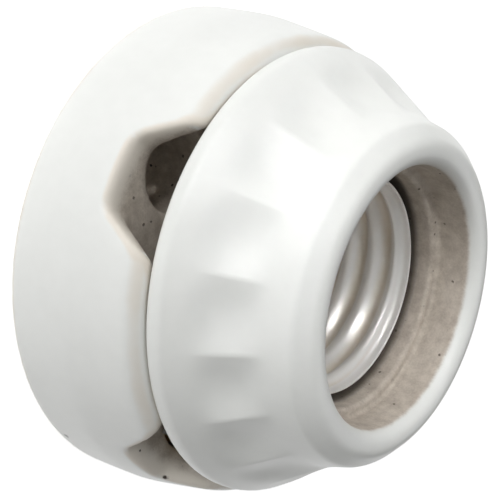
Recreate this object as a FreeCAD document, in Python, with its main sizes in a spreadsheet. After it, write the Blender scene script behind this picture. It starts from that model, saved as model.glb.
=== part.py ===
import FreeCAD, Part
import math
import os

import Sketcher

# Surface-mounted porcelain E27 lamp holder, in millimetres.
# Origin: centre of the back face. +Z: the lamp's axis. -Y: the broad wall between two wire notches.

SIZES = (
    ("base_r", 30.5, "outer radius of the base"),
    ("base_height", 18.0, "height of the base's rim"),
    ("straight_wall", 8.0, "height at which the base's wall starts to taper"),
    ("rim_r", 29.5, "radius of the wall where the rim's round starts"),
    ("rim_round", 2.2, "round on the rim's outer edge"),
    ("foot_round", 0.7, "round on the foot"),
    ("lip_round", 0.6, "round on the rim's inner edge"),
    ("chamber_r", 26.0, "radius of the wiring chamber"),
    ("cove", 0.8, "cove between the chamber's wall and the shelf"),
    ("shelf_z", 12.0, "height of the wiring shelf"),
    ("well_r", 14.2, "radius of the well round the screw shell"),
    ("well_z", 8.0, "height of the well's floor"),
    ("back_relief", 0.6, "depth of the relief in the back"),
    ("back_rim", 4.6, "width of the rim round the back's relief"),
    ("notch_angle", 39.5, "angle between a wire notch and the Y axis"),
    ("notch_floor", 8.4, "width of a wire notch at its floor"),
    ("notch_slant", 34.0, "slant of a notch's sides from upright"),
    ("notch_round", 0.4, "round on a notch's outer edges"),
    ("pocket_angle", 39.7, "angle between a round pocket and the X axis"),
    ("pocket_margin", 0.4, "shelf left between a round pocket and the chamber's wall"),
    ("pocket_r", 5.1, "radius of a round pocket"),
    ("pocket_z", 5.5, "height of a pocket's floor"),
    ("fixing_hole_r", 2.5, "radius of a fixing hole"),
    ("groove_width", 7.0, "width of the grooves for the strips"),
    ("groove_end", 5.4, "reach of the contact's groove past the axis"),
    ("strip_start", 6.6, "start of the shell strip's groove"),
    ("drop_gap", 0.2, "gap between the shell strip's step and the porcelain"),
    ("shell_r", 13.55, "outer radius of the screw shell"),
    ("shell_wall", 0.3, "thickness of the shell's sheet"),
    ("shell_height", 18.8, "height of the screw shell"),
    ("shell_bend", 0.9, "outer bend radius at the shell's foot"),
    ("flange_hole_r", 6.8, "radius of the hole in the shell's flange"),
    ("shell_foot", 3.3, "height of the shell's plain foot under its thread"),
    ("shell_step", 0.2, "step from the foot out to the thread, along and across"),
    ("shell_screw_inset", 3.85, "distance from the shell's outer wall to its screws' axes"),
    ("shell_screw_r", 1.5, "radius of an M3 shank"),
    ("shell_screw_length", 7.0, "length of a shell screw's shank"),
    ("shell_head_r", 2.75, "head radius of a shell screw"),
    ("shell_head", 1.6, "head height of a shell screw"),
    ("nut_flats", 5.5, "width of an M3 nut across its flats"),
    ("nut_height", 2.4, "height of an M3 nut"),
    ("nut_seat_z", 5.0, "height of a nut's seat"),
    ("spring_washer", 0.6, "thickness of a spring washer"),
    ("spring_washer_r", 2.7, "outer radius of a spring washer"),
    ("strip_width", 6.0, "width of the contact strips"),
    ("strip", 0.5, "thickness of the contact strips"),
    ("strip_end", 3.7, "reach of a strip past its pillar's axis"),
    ("strip_bend", 0.5, "inner bend radius of the strips"),
    ("tongue_riser", 4.6, "reach of the contact's fold past the axis"),
    ("tongue_tip", 3.6, "reach of the contact's free end"),
    ("tongue_low_z", 9.2, "height under the tongue at its fold"),
    ("tongue_high_z", 10.1, "height under the tongue at its free end"),
    ("dome_r", 2.2, "radius of the contact's dome"),
    ("dome_rise", 0.8, "height of the dome above the tongue"),
    ("pillar_flats", 8.0, "width of a terminal pillar across its flats"),
    ("pillar_height", 7.2, "height of a terminal pillar"),
    ("terminal_r", 2.0, "radius of an M4 shank"),
    ("thread_gap", 0.05, "radial gap between a shank and its tapped hole"),
    ("clearance", 0.15, "radial gap round a shank in a plain hole"),
    ("terminal_head_r", 3.5, "head radius of a terminal screw"),
    ("terminal_head", 2.4, "head height of a terminal screw"),
    ("terminal_length", 4.5, "length of a terminal screw's shank below its head"),
    ("clamp_side", 9.8, "width of a clamp washer over its lips"),
    ("clamp_length", 8.0, "length of a clamp washer"),
    ("clamp", 0.9, "thickness of a clamp washer"),
    ("clamp_lip", 0.9, "drop of a clamp washer's lips"),
    ("clamp_lip_wall", 0.7, "thickness of a clamp washer's lips"),
    ("pillar_seat_z", 3.0, "height of the seat of a pillar screw's head"),
    ("pillar_head", 1.6, "head height of a pillar screw"),
    ("pillar_screw_length", 5.8, "length of a pillar screw's shank"),
    ("bore_gap", 0.4, "gap round a screw head in the back"),
    ("plug", 0.7, "thickness of a plug of sealing compound"),
    ("plug_gap", 0.02, "shrinkage gap round a plug"),
    ("slot", 0.8, "width of a screw's slot"),
    ("seat_gap", 0.3, "gap between the ring and the base's rim"),
    ("ring_r", 28.0, "outer radius of the ring"),
    ("ring_height", 16.7, "height of the ring"),
    ("ring_foot", 0.9, "round on the ring's rear edge"),
    ("ring_band", 1.7, "height of the ring's upright band"),
    ("shoulder_round", 3.2, "round between the band and the cone"),
    ("cone_r", 27.1, "radius where the cone starts"),
    ("cone_start", 3.2, "height where the cone starts, from the ring's rear"),
    ("cone_angle", 33.0, "half angle of the cone"),
    ("cone_length", 10.1, "length of the cone along its slope"),
    ("nose_r", 20.3, "radius where the cone turns into the nose"),
    ("nose_drop", 1.85, "drop from the mouth's face to the nose"),
    ("nose_round", 2.15, "round of the nose"),
    ("brow_round", 8.9, "round between the cone and the nose"),
    ("face_r", 18.3, "outer radius of the mouth's face"),
    ("mouth_r", 15.9, "radius of the mouth"),
    ("mouth_round", 1.6, "round on the mouth's inner edge"),
    ("mouth_depth", 5.7, "depth of the mouth to its ledge"),
    ("ledge_cove", 0.5, "cove between the mouth and the ledge"),
    ("ledge_round", 0.6, "round on the ledge's edge"),
    ("throat_gap", 1.05, "gap round the shell in the throat"),
    ("throat_depth", 4.8, "depth of the throat under the ledge"),
    ("thread_clear", 0.3, "gap between the ring's thread land and the shell"),
    ("neck_wall", 2.75, "thickness of the ring's threaded neck"),
    ("neck_rise", 1.2, "height of the neck's rear above the ring's rear"),
    ("skirt_wall", 3.4, "thickness of the ring's skirt"),
    ("skirt_taper", 0.2, "taper of the skirt's inner wall"),
    ("skirt_straight", 1.7, "height at which the hollow starts to close"),
    ("hollow_top", 7.9, "height of the ring's hollow"),
    ("hollow_r", 20.4, "outer radius of the hollow's roof"),
    ("flute_count", 17, "number of flutes on the ring"),
    ("flute_depth", 0.85, "depth of a flute"),
    ("flute_mid", 4.9, "middle of a flute along the cone's slope"),
    ("flute_length", 3.6, "length of a flute's straight bottom"),
    ("flute_end", 4.2, "round at a flute's ends"),
    ("flute_waist", 21.0, "radius of a flute's scoop"),
    ("ring_turn", 3.7, "angle between a flute and the X axis"),
)

DOC = FreeCAD.newDocument("LampHolder")
SHEET = DOC.addObject("Spreadsheet::Sheet", "Sizes")


def fill_sheet():
    """Put each driving size into the sheet, with its alias and what it is."""
    for row, (alias, number, meaning) in enumerate(SIZES, start=1):
        SHEET.set(f"A{row}", meaning)
        SHEET.set(f"B{row}", str(number))
        SHEET.setAlias(f"B{row}", alias)
    DOC.recompute()


class Size:
    """A length, angle or count that knows its value and the formula that gives it."""

    def __init__(self, value, formula):
        self.value = float(value)
        self.formula = formula

    def __add__(self, other):
        other = as_size(other)
        return Size(self.value + other.value, f"({self.formula} + {other.formula})")

    def __sub__(self, other):
        other = as_size(other)
        return Size(self.value - other.value, f"({self.formula} - {other.formula})")

    def __mul__(self, other):
        other = as_size(other)
        return Size(self.value * other.value, f"{self.formula} * {other.formula}")

    def __truediv__(self, other):
        other = as_size(other)
        return Size(self.value / other.value, f"{self.formula} / ({other.formula})")

    def __neg__(self):
        return Size(-self.value, f"(0 - {self.formula})")


def as_size(number):
    """The number as a Size, so that plain halves and doubles can join a formula."""
    return number if isinstance(number, Size) else Size(number, str(number))


def size(alias):
    """The driving size with this alias."""
    return Size(SHEET.get(alias), f"Sizes.{alias}")


def sine(angle):
    return Size(math.sin(math.radians(angle.value)), f"sin({angle.formula})")


def cosine(angle):
    return Size(math.cos(math.radians(angle.value)), f"cos({angle.formula})")


def tangent(angle):
    return sine(angle) / cosine(angle)


def bind(item, name, amount):
    """Tie a property of an object, or a part of its placement, to the sheet."""
    item.setExpression(name, as_size(amount).formula)


def place(item, x=0, y=0, z=0, turn=0):
    """Place an object by formulas: where its own origin goes, and its turn about Z."""
    item.Placement = FreeCAD.Placement(FreeCAD.Vector(), FreeCAD.Rotation(FreeCAD.Vector(0, 0, 1), 1))
    for name, amount in (("Base.x", x), ("Base.y", y), ("Base.z", z), ("Rotation.Angle", turn)):
        bind(item, f"Placement.{name}", amount)
    return item


# Sketches and features


def new_body(label):
    body = DOC.addObject("PartDesign::Body", label)
    body.Label = label
    return body


def origin_item(body, role):
    """The body's own origin plane or axis with this role, such as XY_Plane or Z_Axis."""
    return next(item for item in body.Origin.OriginFeatures if item.Role == role)


def new_sketch(body, role, name, shift=(0, 0, 0), turn=0, about=(0, 0, 1)):
    """A sketch on one of the body's origin planes, shifted and turned in that plane's own axes."""
    sketch = body.newObject("Sketcher::SketchObject", name)
    sketch.AttachmentSupport = [(origin_item(body, role), "")]
    sketch.MapMode = "FlatFace"
    turn = as_size(turn)
    sketch.AttachmentOffset = FreeCAD.Placement(
        FreeCAD.Vector(*(as_size(part).value for part in shift)),
        FreeCAD.Rotation(FreeCAD.Vector(*about), turn.value or 1.0),
    )
    for axis, amount in zip("xyz", shift):
        bind(sketch, f"AttachmentOffset.Base.{axis}", amount)
    bind(sketch, "AttachmentOffset.Rotation.Angle", turn)
    return sketch


def constrain(sketch, kind, *terms):
    """Add a constraint whose last term is a Size, and tie it to its formula."""
    *items, amount = terms
    index = sketch.addConstraint(Sketcher.Constraint(kind, *items, amount.value))
    sketch.setExpression(f"Constraints[{index}]", amount.formula)


def arc_between(start, end, radius, left):
    """The short arc of this radius from start to end, bulging to the left or right of its chord."""
    middle = (start + end) * 0.5
    chord = end - start
    half = chord.Length / 2
    side = FreeCAD.Vector(-chord.y, chord.x, 0).normalize() * (1 if left else -1)
    rise = radius - math.sqrt(max(radius * radius - half * half, 0.0))
    return Part.Arc(start, middle + side * rise, end)


def outline(sketch, corners):
    """Draw a closed outline through corners (x, y) or (x, y, radius, side of the arc to the next)."""
    points = [FreeCAD.Vector(as_size(c[0]).value, as_size(c[1]).value, 0) for c in corners]
    ends = []
    for number, corner in enumerate(corners):
        start, end = points[number], points[(number + 1) % len(points)]
        if len(corner) == 2:
            edge = sketch.addGeometry(Part.LineSegment(start, end), False)
        else:
            edge = sketch.addGeometry(
                arc_between(start, end, corner[2].value, corner[3] == "left"), False
            )
        forward = (sketch.getPoint(edge, 1) - start).Length < (sketch.getPoint(edge, 2) - start).Length
        ends.append((edge, 1, 2) if forward else (edge, 2, 1))
    for number, corner in enumerate(corners):
        edge, first, _ = ends[number]
        before, _, last = ends[number - 1]
        sketch.addConstraint(Sketcher.Constraint("Coincident", before, last, edge, first))
        constrain(sketch, "DistanceX", -1, 1, edge, first, as_size(corner[0]))
        constrain(sketch, "DistanceY", -1, 1, edge, first, as_size(corner[1]))
        if len(corner) == 4:
            constrain(sketch, "Radius", edge, corner[2])
    return sketch


def circle(sketch, x, y, radius):
    """Draw a circle at (x, y)."""
    x, y = as_size(x), as_size(y)
    centre = FreeCAD.Vector(x.value, y.value, 0)
    edge = sketch.addGeometry(Part.Circle(centre, FreeCAD.Vector(0, 0, 1), radius.value), False)
    constrain(sketch, "DistanceX", -1, 1, edge, 3, x)
    constrain(sketch, "DistanceY", -1, 1, edge, 3, y)
    constrain(sketch, "Radius", edge, radius)
    return sketch


def rectangle(sketch, low_x, high_x, width):
    """Draw a rectangle from low_x to high_x, centred on the sketch's X axis."""
    half = width / 2
    return outline(sketch, [(low_x, -half), (high_x, -half), (high_x, half), (low_x, half)])


def hexagon(sketch, x, flats):
    """Draw a hexagon with two flats square to the X axis, centred at (x, 0)."""
    side = flats / math.sqrt(3)
    half, corner = flats / 2, side / 2
    return outline(
        sketch,
        [
            (x + half, -corner),
            (x + half, corner),
            (x, side),
            (x - half, corner),
            (x - half, -corner),
            (x, -side),
        ],
    )


def feature(body, kind, name, profile):
    item = body.newObject(f"PartDesign::{kind}", name)
    item.Profile = profile
    profile.Visibility = False
    return item


def revolve(body, profile):
    """Turn the profile about its own upright axis."""
    item = feature(body, "Revolution", f"{profile.Name}_turned", profile)
    item.ReferenceAxis = (profile, ["V_Axis"])
    item.Angle = 360
    return item


def pad(body, profile, length, both_ways=False):
    item = feature(body, "Pad", f"{profile.Name}_pad", profile)
    bind(item, "Length", length)
    item.SideType = "Symmetric" if both_ways else "One side"
    return item


def pocket(body, profile, depth, upward=False):
    """Cut the profile below its plane, or above it where upward is set."""
    item = feature(body, "Pocket", f"{profile.Name}_cut", profile)
    bind(item, "Length", depth)
    item.Reversed = upward
    return item


def polar(body, name, originals, count):
    """Repeat features evenly round the body's Z axis."""
    item = body.newObject("PartDesign::PolarPattern", name)
    item.Originals = originals
    item.Axis = (origin_item(body, "Z_Axis"), [""])
    item.Angle = 360
    bind(item, "Occurrences", count)
    body.Tip = item
    return item


def must_shrink(body, *features):
    """Check that each cut took material away: one that points away from the solid shows no error."""
    DOC.recompute()
    for item in features:
        before = item.BaseFeature.Shape.Volume
        if not item.Shape.Volume < before - 0.01:
            raise RuntimeError(f"{body.Label}: {item.Label} cuts nothing")


# Places that several pieces share


def pocket_radius():
    return size("chamber_r") - size("pocket_margin") - size("pocket_r")


def shell_screw_radius():
    return size("shell_r") - size("shell_screw_inset")


def pocket_floor_depth():
    return size("shelf_z") - size("pocket_z")


def contact_turn():
    """Turn of the contact's terminal from +X; the shell's terminal is opposite."""
    return -size("pocket_angle")


def shell_turn():
    return as_size(180) - size("pocket_angle")


def pillar_base_z():
    return size("pocket_z") + size("strip")


def pillar_top_z():
    return pillar_base_z() + size("pillar_height")


def clamp_top_z():
    return pillar_top_z() + size("clamp")


def washer_z():
    return size("well_z") + size("shell_wall")


def shell_head_z():
    return washer_z() + size("spring_washer")


def tapped(radius):
    """Radius of the tapped hole for a shank of this radius."""
    return radius + size("thread_gap")


def plain_hole(radius):
    return radius + size("clearance")


def back_bore_r():
    return size("terminal_head_r") + size("bore_gap")


def plug_top_z():
    return size("back_relief") + size("plug")


def plug_r():
    return back_bore_r() - size("plug_gap")


def strip_step_r():
    """Radius at which the shell's strip steps down, just outside the well."""
    return size("well_r") + size("drop_gap") * 2


# Porcelain


def base_section(body):
    """Half section of the base: foot, tapered wall, rounded rim, chamber, shelf and well."""
    base_r, rim_r, height = size("base_r"), size("rim_r"), size("base_height")
    foot, rim, lip, cove = size("foot_round"), size("rim_round"), size("lip_round"), size("cove")
    chamber, shelf, relief = size("chamber_r"), size("shelf_z"), size("back_relief")
    return outline(
        new_sketch(body, "XZ_Plane", "BaseSection"),
        [
            (0, relief),
            (base_r - size("back_rim"), relief),
            (base_r - size("back_rim"), 0),
            (base_r - foot, 0, foot, "right"),
            (base_r, foot),
            (base_r, size("straight_wall")),
            (rim_r, height - rim, rim, "right"),
            (rim_r - rim, height),
            (chamber + lip, height, lip, "right"),
            (chamber, height - lip),
            (chamber, shelf + cove, cove, "left"),
            (chamber - cove, shelf),
            (size("well_r"), shelf),
            (size("well_r"), size("well_z")),
            (0, size("well_z")),
        ],
    )


def cut_notch(body, name, turn):
    """Cut one wire notch outward through the wall: a flat floor on the shelf and slanted sides."""
    half = size("notch_floor") / 2
    shelf, height = size("shelf_z"), size("base_height")
    top = height + size("cove")
    lean = (top - shelf) * tangent(size("notch_slant"))
    profile = outline(
        new_sketch(body, "XZ_Plane", name, turn=turn, about=(0, 1, 0)),
        [(-half, shelf), (half, shelf), (half + lean, top), (-(half + lean), top)],
    )
    return pocket(body, profile, size("base_r") + size("cove"), upward=True)


def cut_round(body, name, turn, radius, top, depth, x=None):
    """Cut a round hole down from a height, on the pockets' circle or at x."""
    profile = new_sketch(body, "XY_Plane", name, shift=(0, 0, top), turn=turn)
    circle(profile, pocket_radius() if x is None else x, 0, radius)
    return pocket(body, profile, depth)


def cut_groove(body, name, turn, low_x, high_x, floor):
    """Cut a straight groove from the shelf down to its floor."""
    profile = new_sketch(body, "XY_Plane", name, shift=(0, 0, size("shelf_z")), turn=turn)
    rectangle(profile, low_x, high_x, size("groove_width"))
    return pocket(body, profile, size("shelf_z") - floor)


def cut_shell_fixings(body):
    """Cut the holes for the shell's screws, with their nut seats and plug bores in the back."""
    circle_r = shell_screw_radius()
    hole = cut_round(
        body,
        "ShellScrewHole",
        shell_turn(),
        plain_hole(size("shell_screw_r")),
        size("well_z"),
        size("well_z"),
        circle_r,
    )
    flats = size("nut_flats") + size("clearance") * 2
    seat = new_sketch(body, "XY_Plane", "NutSeat", shift=(0, 0, size("nut_seat_z")), turn=shell_turn())
    nut = pocket(body, hexagon(seat, circle_r, flats), size("nut_seat_z"))
    bore = cut_round(
        body, "NutPlugBore", shell_turn(), back_bore_r(), plug_top_z(), plug_top_z(), circle_r
    )
    return hole, nut, bore


def outer_notch_edges(shape):
    """Names of the edges where the notches meet the base's outer wall and rim."""
    names = []
    for number, edge in enumerate(shape.Edges, start=1):
        middle = edge.valueAt((edge.FirstParameter + edge.LastParameter) / 2)
        radii = [math.hypot(v.X, v.Y) for v in edge.Vertexes]
        heights = [v.Z for v in edge.Vertexes]
        low, high = size("shelf_z").value, size("base_height").value
        on_wall = min(radii) > size("chamber_r").value + size("lip_round").value - 0.01
        in_notch = low - 0.01 < middle.z < high - 0.01 and min(heights) > low - 0.01
        seam = abs(middle.y) < 0.01 and middle.x > 0
        whole_rim = abs(heights[0] - heights[-1]) < 0.01 and middle.z > low + 0.01
        if on_wall and in_notch and not seam and not whole_rim:
            names.append(f"Edge{number}")
    return names


def make_base():
    """The porcelain base: a turned blank with notches, pockets, grooves and holes."""
    body = new_body("porcelain_base")
    revolve(body, base_section(body))
    notches = [
        cut_notch(body, "NotchLeft", -size("notch_angle")),
        cut_notch(body, "NotchRight", size("notch_angle")),
    ]
    must_shrink(body, *notches)
    notched = polar(body, "Notches", notches, 2)
    DOC.recompute()
    softened = body.newObject("PartDesign::Fillet", "NotchRounds")
    softened.Base = (notched, outer_notch_edges(notched.Shape))
    bind(softened, "Radius", size("notch_round"))
    shelf, floor = size("shelf_z"), size("pocket_z")
    depth = pocket_floor_depth()
    cuts = [
        cut_round(body, "FixingPocket", size("pocket_angle"), size("pocket_r"), shelf, depth),
        cut_round(body, "TerminalPocket", contact_turn(), size("pocket_r"), shelf, depth),
        cut_round(body, "FixingHole", size("pocket_angle"), size("fixing_hole_r"), floor, floor),
        cut_round(body, "PillarHole", contact_turn(), plain_hole(size("terminal_r")), floor, floor),
        cut_round(
            body, "PillarBore", contact_turn(), back_bore_r(), size("pillar_seat_z"), size("pillar_seat_z")
        ),
    ]
    must_shrink(body, *cuts)
    polar(body, "Pockets", cuts, 2)
    deep_start = strip_step_r() - size("strip_bend") - size("drop_gap")
    grooves = [
        cut_groove(body, "ContactGroove", contact_turn(), -size("groove_end"), pocket_radius(), floor),
        cut_groove(
            body,
            "ShellGroove",
            shell_turn(),
            size("strip_start"),
            pocket_radius(),
            size("well_z") - size("strip"),
        ),
        cut_groove(body, "ShellDrop", shell_turn(), deep_start, pocket_radius(), floor),
    ]
    fixings = cut_shell_fixings(body)
    must_shrink(body, *grooves, *fixings)
    polar(body, "ShellFixings", list(fixings), 3)
    return body


def ring_rear_z():
    return size("base_height") + size("seat_gap")


def cone_end():
    """The cone's front end: its radius and its height above the ring's rear."""
    angle, length = size("cone_angle"), size("cone_length")
    return (
        size("cone_r") - length * sine(angle),
        size("cone_start") + length * cosine(angle),
    )


def ring_section(body):
    """Half section of the ring, from its rear: hollow skirt, cone, rounded mouth, throat and neck."""
    height, foot, band = size("ring_height"), size("ring_foot"), size("ring_band")
    throat_r = size("shell_r") + size("throat_gap")
    neck_r = size("shell_r") + size("thread_clear")
    neck_out = neck_r + size("neck_wall")
    cone_end_r, cone_end_z = cone_end()
    ledge_z = height - size("mouth_depth")
    cove, edge = size("ledge_cove"), size("ledge_round")
    skirt_r = size("ring_r") - size("skirt_wall")
    return outline(
        new_sketch(body, "XZ_Plane", "RingSection"),
        [
            (skirt_r, 0),
            (size("ring_r") - foot, 0, foot, "right"),
            (size("ring_r"), foot),
            (size("ring_r"), band, size("shoulder_round"), "right"),
            (size("cone_r"), size("cone_start")),
            (cone_end_r, cone_end_z, size("brow_round"), "right"),
            (size("nose_r"), height - size("nose_drop"), size("nose_round"), "right"),
            (size("face_r"), height),
            (size("mouth_r") + size("mouth_round"), height, size("mouth_round"), "right"),
            (size("mouth_r"), height - size("mouth_round")),
            (size("mouth_r"), ledge_z + cove, cove, "left"),
            (size("mouth_r") - cove, ledge_z),
            (throat_r + edge, ledge_z, edge, "right"),
            (throat_r, ledge_z - edge),
            (throat_r, ledge_z - size("throat_depth")),
            (neck_r, ledge_z - size("throat_depth")),
            (neck_r, size("neck_rise")),
            (neck_out, size("neck_rise")),
            (neck_out, size("hollow_top")),
            (size("hollow_r"), size("hollow_top")),
            (skirt_r - size("skirt_taper"), size("skirt_straight")),
        ],
    )


def scoop_section(body):
    """Half section of a flute's scoop, in axes along and square to the cone's slope.

    The scoop is a barrel: its axis lies outside the cone, and its flat-bottomed bulge bites into it.
    """
    angle, along = size("cone_angle"), size("flute_mid")
    middle = (
        size("cone_r") - along * sine(angle),
        size("cone_start") + along * cosine(angle),
        0,
    )
    sketch = new_sketch(body, "XZ_Plane", "ScoopSection", shift=middle, turn=angle)
    bottom, axis = -size("flute_depth"), size("flute_waist") - size("flute_depth")
    half, end = size("flute_length") / 2, size("flute_end")
    outline(
        sketch,
        [
            (axis, -(half + end)),
            (axis, half + end),
            (bottom + end, half + end, end, "right"),
            (bottom, half),
            (bottom, -half, end, "right"),
            (bottom + end, -(half + end)),
        ],
    )
    return sketch


def make_ring():
    """The porcelain ring: a turned blank with shallow flutes scooped round its cone."""
    body = new_body("porcelain_ring")
    revolve(body, ring_section(body))
    scoop = feature(body, "Groove", "Flute", scoop_section(body))
    scoop.ReferenceAxis = (scoop.Profile[0], ["Edge1"])
    scoop.Angle = 360
    must_shrink(body, scoop)
    polar(body, "Flutes", [scoop], size("flute_count"))
    return place(body, z=ring_rear_z(), turn=size("ring_turn"))


# Metal


def make_shell():
    """The screw shell: a deep-drawn sleeve with a stepped foot, and a flange for the screws."""
    body = new_body("screw_shell")
    outer, wall, bend = size("shell_r"), size("shell_wall"), size("shell_bend")
    foot, step = size("shell_foot"), size("shell_step")
    foot_r = outer - step
    revolve(
        body,
        outline(
            new_sketch(body, "XZ_Plane", "ShellSection"),
            [
                (size("flange_hole_r"), 0),
                (foot_r - bend, 0, bend, "right"),
                (foot_r, bend),
                (foot_r, foot),
                (outer, foot + step),
                (outer, size("shell_height")),
                (outer - wall, size("shell_height")),
                (outer - wall, foot + step),
                (foot_r - wall, foot),
                (foot_r - wall, bend, bend - wall, "left"),
                (foot_r - bend, wall),
                (size("flange_hole_r"), wall),
            ],
        ),
    )
    profile = new_sketch(body, "XY_Plane", "FlangeHole", shift=(0, 0, wall), turn=shell_turn())
    circle(profile, shell_screw_radius(), 0, plain_hole(size("shell_screw_r")))
    hole = pocket(body, profile, wall)
    must_shrink(body, hole)
    polar(body, "FlangeHoles", [hole], 3)
    return place(body, z=size("well_z"))


def bend_edges(shape, places):
    """Names of the edges along the strip's width that pass through these (x, z) places."""
    return [
        f"Edge{number}"
        for number, edge in enumerate(shape.Edges, start=1)
        if abs(edge.Length - size("strip_width").value) < 0.01
        and any(
            math.hypot(edge.Vertexes[0].X - x.value, edge.Vertexes[0].Z - z.value) < 0.01 for x, z in places
        )
    ]


def round_bends(body, base, inner, outer):
    """Round a folded strip's bends: the inner edges, and the outer ones by one thickness more."""
    DOC.recompute()
    inside = body.newObject("PartDesign::Fillet", "InnerBends")
    inside.Base = (base, bend_edges(base.Shape, inner))
    bind(inside, "Radius", size("strip_bend"))
    DOC.recompute()
    outside = body.newObject("PartDesign::Fillet", "OuterBends")
    outside.Base = (inside, bend_edges(inside.Shape, outer))
    bind(outside, "Radius", size("strip_bend") + size("strip"))
    return outside


def pillar_hole(body, name, top):
    """Cut the hole in a strip for the pillar's screw."""
    profile = new_sketch(body, "XY_Plane", name, shift=(0, 0, top))
    circle(profile, pocket_radius(), 0, plain_hole(size("terminal_r")))
    return pocket(body, profile, size("strip"))


def make_contact():
    """The centre contact: a strip folded back over itself into a sprung tongue with a dome."""
    body = new_body("centre_contact")
    fold, tip, strip = -size("tongue_riser"), size("tongue_tip"), size("strip")
    low, high, far = size("tongue_low_z"), size("tongue_high_z"), pocket_radius() + size("strip_end")
    start = size("pocket_z")
    pads = pad(
        body,
        outline(
            new_sketch(body, "XZ_Plane", "ContactSide"),
            [
                (far, start),
                (far, start + strip),
                (fold + strip, start + strip),
                (fold + strip, low),
                (tip, high),
                (tip, high + strip),
                (fold, low + strip),
                (fold, start),
            ],
        ),
        size("strip_width"),
        both_ways=True,
    )
    inner = [(fold + strip, start + strip), (fold + strip, low)]
    outer = [(fold, low + strip), (fold, start)]
    round_bends(body, pads, inner, outer)
    must_shrink(body, pillar_hole(body, "PillarHole", start + strip))
    return place(body, turn=contact_turn())


def add_dome(body):
    """Raise the dome in the tongue: a spherical cap through its rim and its top."""
    slope = (size("tongue_high_z") - size("tongue_low_z")) / (size("tongue_tip") + size("tongue_riser"))
    middle = size("tongue_low_z") + slope * size("tongue_riser") + size("strip")
    rim, rise = size("dome_r"), size("dome_rise")
    cap_r = (rim * rim + rise * rise) / (rise * 2)
    sunk = middle - size("strip") / 2
    revolve(
        body,
        outline(
            new_sketch(body, "XZ_Plane", "DomeSection"),
            [(0, sunk), (rim, sunk), (rim, middle, cap_r, "right"), (0, middle + rise)],
        ),
    )
    return body


def make_shell_strip():
    """The shell's strip: flat under the flange, then stepped down to its pillar."""
    body = new_body("shell_strip")
    strip, top, low = size("strip"), size("well_z"), size("pocket_z")
    step = strip_step_r()
    near = size("strip_start") + size("drop_gap")
    far = pocket_radius() + size("strip_end")
    pads = pad(
        body,
        outline(
            new_sketch(body, "XZ_Plane", "StripSide"),
            [
                (near, top - strip),
                (near, top),
                (step + strip, top),
                (step + strip, low + strip),
                (far, low + strip),
                (far, low),
                (step, low),
                (step, top - strip),
            ],
        ),
        size("strip_width"),
        both_ways=True,
    )
    inner = [(step, top - strip), (step + strip, low + strip)]
    outer = [(step + strip, top), (step, low)]
    round_bends(body, pads, inner, outer)
    hole = new_sketch(body, "XY_Plane", "FlangeScrewHole", shift=(0, 0, top))
    circle(hole, shell_screw_radius(), 0, plain_hole(size("shell_screw_r")))
    must_shrink(body, pillar_hole(body, "PillarHole", low + strip), pocket(body, hole, strip))
    return place(body, turn=shell_turn())


def cylinder(name, radius, height, z=0):
    item = DOC.addObject("Part::Cylinder", name)
    bind(item, "Radius", radius)
    bind(item, "Height", height)
    bind(item, "Placement.Base.z", z)
    return item


def hexagonal(name, flats, height, turn=0):
    """A hexagonal prism with two flats square to the Y axis, or to X when turned by 30 degrees."""
    item = DOC.addObject("Part::Prism", name)
    item.Polygon = 6
    bind(item, "Circumradius", flats / math.sqrt(3))
    bind(item, "Height", height)
    item.Placement.Rotation = FreeCAD.Rotation(FreeCAD.Vector(0, 0, 1), turn)
    return item


def cut(name, base, tool):
    item = DOC.addObject("Part::Cut", name)
    item.Base, item.Tool = base, tool
    return item


def make_pillar(label, turn):
    """A hexagonal brass pillar with a tapped hole right through."""
    height = size("pillar_height")
    blank = hexagonal(f"{label}_blank", size("pillar_flats"), height)
    hole = cylinder(f"{label}_hole", tapped(size("terminal_r")), height)
    pillar = cut(label, blank, hole)
    radius = pocket_radius()
    place(pillar, radius * cosine(turn), radius * sine(turn), pillar_base_z(), turn)
    return pillar


def slotted_screw(name, head_r, head, shank_r, length):
    """A slotted cheese-head screw, head up, with its seat at z = 0."""
    whole = DOC.addObject("Part::Fuse", f"{name}_blank")
    whole.Base = cylinder(f"{name}_head", head_r, head)
    whole.Tool = cylinder(f"{name}_shank", shank_r, length + head / 2, -length)
    slot = DOC.addObject("Part::Box", f"{name}_slot")
    bind(slot, "Length", head_r * 3)
    bind(slot, "Width", size("slot"))
    bind(slot, "Height", head)
    bind(slot, "Placement.Base.x", -head_r * 1.5)
    bind(slot, "Placement.Base.y", -size("slot") / 2)
    bind(slot, "Placement.Base.z", head / 2)
    return cut(name, whole, slot)


def make_clamp(label, turn):
    """A saddle washer: a plate over the pillar with a lip down each side to trap the wire."""
    body = new_body(label)
    half, plate, lip = size("clamp_side") / 2, size("clamp"), size("clamp_lip")
    inside = half - size("clamp_lip_wall")
    pad(
        body,
        outline(
            new_sketch(body, "YZ_Plane", "ClampSide"),
            [
                (-half, -lip),
                (-inside, -lip),
                (-inside, 0),
                (inside, 0),
                (inside, -lip),
                (half, -lip),
                (half, plate),
                (-half, plate),
            ],
        ),
        size("clamp_length"),
        both_ways=True,
    )
    hole = new_sketch(body, "XY_Plane", "ClampHole", shift=(0, 0, plate))
    circle(hole, 0, 0, plain_hole(size("terminal_r")))
    must_shrink(body, pocket(body, hole, plate))
    radius = pocket_radius()
    return place(body, radius * cosine(turn), radius * sine(turn), pillar_top_z(), turn)


def make_terminal(name, turn):
    """One terminal: its pillar, its clamp washer and its screw."""
    make_pillar(f"{name}_terminal", turn)
    make_clamp(f"{name}_clamp", turn)
    screw = slotted_screw(
        f"{name}_clamp_screw",
        size("terminal_head_r"),
        size("terminal_head"),
        size("terminal_r"),
        size("terminal_length"),
    )
    radius = pocket_radius()
    place(screw, radius * cosine(turn), radius * sine(turn), clamp_top_z(), turn)
    return [f"{name}_terminal", f"{name}_clamp", f"{name}_clamp_screw"]


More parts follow.
